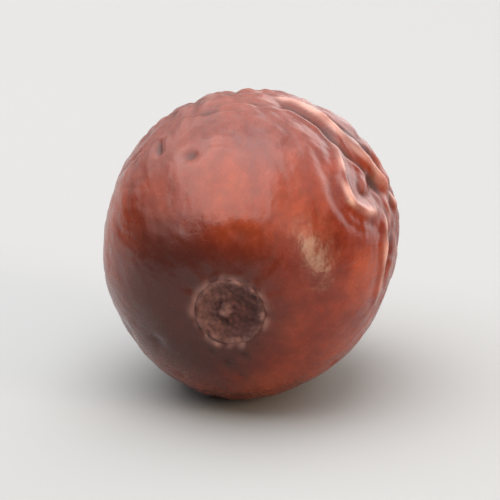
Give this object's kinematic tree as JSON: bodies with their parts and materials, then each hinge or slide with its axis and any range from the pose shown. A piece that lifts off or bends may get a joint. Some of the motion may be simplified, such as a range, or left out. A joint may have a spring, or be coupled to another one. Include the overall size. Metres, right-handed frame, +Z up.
{
  "type": "dried jujube",
  "caption": "Whole dried jujube lying on its side: a plump, partly wrinkled red fruit with the woody stub of its stalk.",
  "frame": {"origin": "on the resting surface, under the middle of the fruit", "axes": "+Z up, +Y from the stem end towards the tip, +X across the fruit towards its more wrinkled flank"},
  "size_m": [0.0254, 0.0286, 0.025],
  "materials": {
    "skin": "satin, darker and purplish round the stem",
    "stub": "dry and matte"
  },
  "bodies": {
    "root": {"fruit": "skin", "stem_stub": "stub"}
  },
  "joints": []
}
